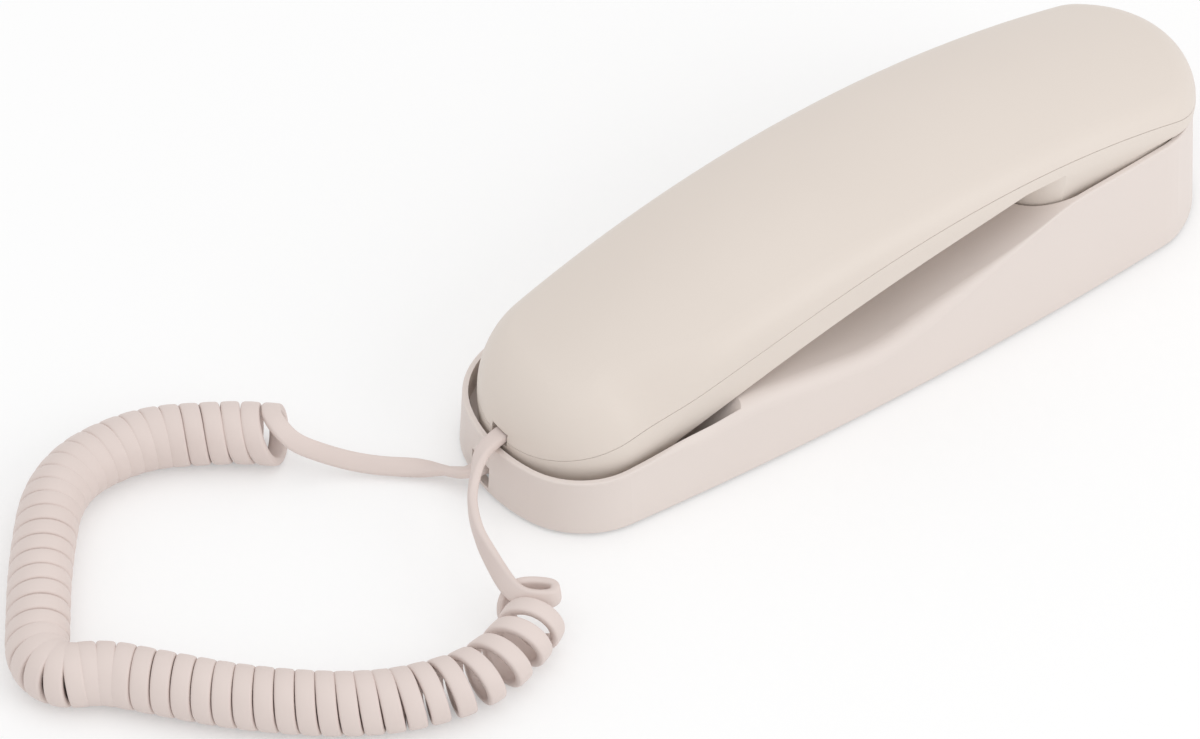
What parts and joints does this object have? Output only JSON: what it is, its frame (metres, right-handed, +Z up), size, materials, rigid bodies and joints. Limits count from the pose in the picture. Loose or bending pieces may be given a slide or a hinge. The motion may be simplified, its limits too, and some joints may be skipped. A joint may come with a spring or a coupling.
{
  "type": "compact corded telephone",
  "caption": "Compact ivory bedroom telephone: arched handset with keys in its inner face lies on a boat-shaped base, with a curly cord from both front ends.",
  "frame": {"origin": "on the table, under the middle of the base", "axes": "+X towards the earpiece end, +Y to the far side, +Z up"},
  "size_m": [0.3256, 0.1219, 0.0522],
  "materials": {
    "handset_ivory": "fine satin",
    "base_ivory": "fine satin",
    "cord_ivory": "smooth vinyl",
    "key_ivory": "satin",
    "plug_clear": "clear moulded",
    "jack_plastic": "moulded",
    "board": "lacquered laminate",
    "rubber_grey": "matt",
    "screw_steel": "zinc plated",
    "spring_steel": "drawn wire",
    "capsule_black": "moulded",
    "capsule_metal": "drawn can",
    "lead_vinyl": "vinyl sleeve"
  },
  "bodies": {
    "base": {"base_housing": "base_ivory", "base_bottom_cover": "base_ivory", "base_feet": "rubber_grey", "base_screws": "screw_steel", "base_pcb": "board", "hook_spring": "spring_steel", "hook_switch": "capsule_black", "ringer": "capsule_black", "line_jack": "jack_plastic", "handset_jack_base": "jack_plastic", "cord_plug_base": "plug_clear", "base_leads": "lead_vinyl", "curly_cord": "cord_ivory", "cord_tail_base": "cord_ivory", "cord_tail_handset": "cord_ivory"},
    "handset": {"handset_back_shell": "handset_ivory", "handset_front_shell": "handset_ivory", "handset_screws": "screw_steel", "receiver_gasket": "rubber_grey", "receiver": "capsule_black", "microphone_boot": "rubber_grey", "microphone": "capsule_metal", "keypad_mat": "rubber_grey", "keypad_pcb": "board", "handset_jack": "jack_plastic", "cord_plug_handset": "plug_clear", "handset_leads": "lead_vinyl"},
    "plunger": {"hook_plunger": "base_ivory"},
    "key_1": {"key_1": "key_ivory"},
    "key_2": {"key_2": "key_ivory"},
    "key_3": {"key_3": "key_ivory"},
    "key_4": {"key_4": "key_ivory"},
    "key_5": {"key_5": "key_ivory"},
    "key_6": {"key_6": "key_ivory"},
    "key_7": {"key_7": "key_ivory"},
    "key_8": {"key_8": "key_ivory"},
    "key_9": {"key_9": "key_ivory"},
    "key_star": {"key_star": "key_ivory"},
    "key_0": {"key_0": "key_ivory"},
    "key_hash": {"key_hash": "key_ivory"},
    "key_redial": {"key_redial": "key_ivory"},
    "key_flash": {"key_flash": "key_ivory"},
    "key_mute": {"key_mute": "key_ivory"}
  },
  "joints": [
    {"name": "handset_lift", "type": "slide", "parent": "base", "child": "handset", "axis": [0, 0, 1], "range_m": [0, 0.06], "deforming": ["cord_tail_handset"]},
    {"name": "hook_plunger_rise", "type": "slide", "parent": "base", "child": "plunger", "axis": [0, 0, 1], "range_m": [0, 0.003], "deforming": ["hook_spring"]},
    {"name": "key_1_press", "type": "slide", "parent": "handset", "child": "key_1", "axis": [-0.2242, 0, 0.9745], "range_m": [0, 0.0013], "stiffness_N_per_m": 400},
    {"name": "key_2_press", "type": "slide", "parent": "handset", "child": "key_2", "axis": [-0.2242, 0, 0.9745], "range_m": [0, 0.0013], "stiffness_N_per_m": 400},
    {"name": "key_3_press", "type": "slide", "parent": "handset", "child": "key_3", "axis": [-0.2242, 0, 0.9745], "range_m": [0, 0.0013], "stiffness_N_per_m": 400},
    {"name": "key_4_press", "type": "slide", "parent": "handset", "child": "key_4", "axis": [-0.2242, 0, 0.9745], "range_m": [0, 0.0013], "stiffness_N_per_m": 400},
    {"name": "key_5_press", "type": "slide", "parent": "handset", "child": "key_5", "axis": [-0.2242, 0, 0.9745], "range_m": [0, 0.0013], "stiffness_N_per_m": 400},
    {"name": "key_6_press", "type": "slide", "parent": "handset", "child": "key_6", "axis": [-0.2242, 0, 0.9745], "range_m": [0, 0.0013], "stiffness_N_per_m": 400},
    {"name": "key_7_press", "type": "slide", "parent": "handset", "child": "key_7", "axis": [-0.2242, 0, 0.9745], "range_m": [0, 0.0013], "stiffness_N_per_m": 400},
    {"name": "key_8_press", "type": "slide", "parent": "handset", "child": "key_8", "axis": [-0.2242, 0, 0.9745], "range_m": [0, 0.0013], "stiffness_N_per_m": 400},
    {"name": "key_9_press", "type": "slide", "parent": "handset", "child": "key_9", "axis": [-0.2242, 0, 0.9745], "range_m": [0, 0.0013], "stiffness_N_per_m": 400},
    {"name": "key_star_press", "type": "slide", "parent": "handset", "child": "key_star", "axis": [-0.2242, 0, 0.9745], "range_m": [0, 0.0013], "stiffness_N_per_m": 400},
    {"name": "key_0_press", "type": "slide", "parent": "handset", "child": "key_0", "axis": [-0.2242, 0, 0.9745], "range_m": [0, 0.0013], "stiffness_N_per_m": 400},
    {"name": "key_hash_press", "type": "slide", "parent": "handset", "child": "key_hash", "axis": [-0.2242, 0, 0.9745], "range_m": [0, 0.0013], "stiffness_N_per_m": 400},
    {"name": "key_redial_press", "type": "slide", "parent": "handset", "child": "key_redial", "axis": [-0.2242, 0, 0.9745], "range_m": [0, 0.0013], "stiffness_N_per_m": 400},
    {"name": "key_flash_press", "type": "slide", "parent": "handset", "child": "key_flash", "axis": [-0.2242, 0, 0.9745], "range_m": [0, 0.0013], "stiffness_N_per_m": 400},
    {"name": "key_mute_press", "type": "slide", "parent": "handset", "child": "key_mute", "axis": [-0.2242, 0, 0.9745], "range_m": [0, 0.0013], "stiffness_N_per_m": 400}
  ],
  "couplings": [
    {"joint": "hook_plunger_rise", "follows": "handset_lift", "ratio": 0.05}
  ]
}
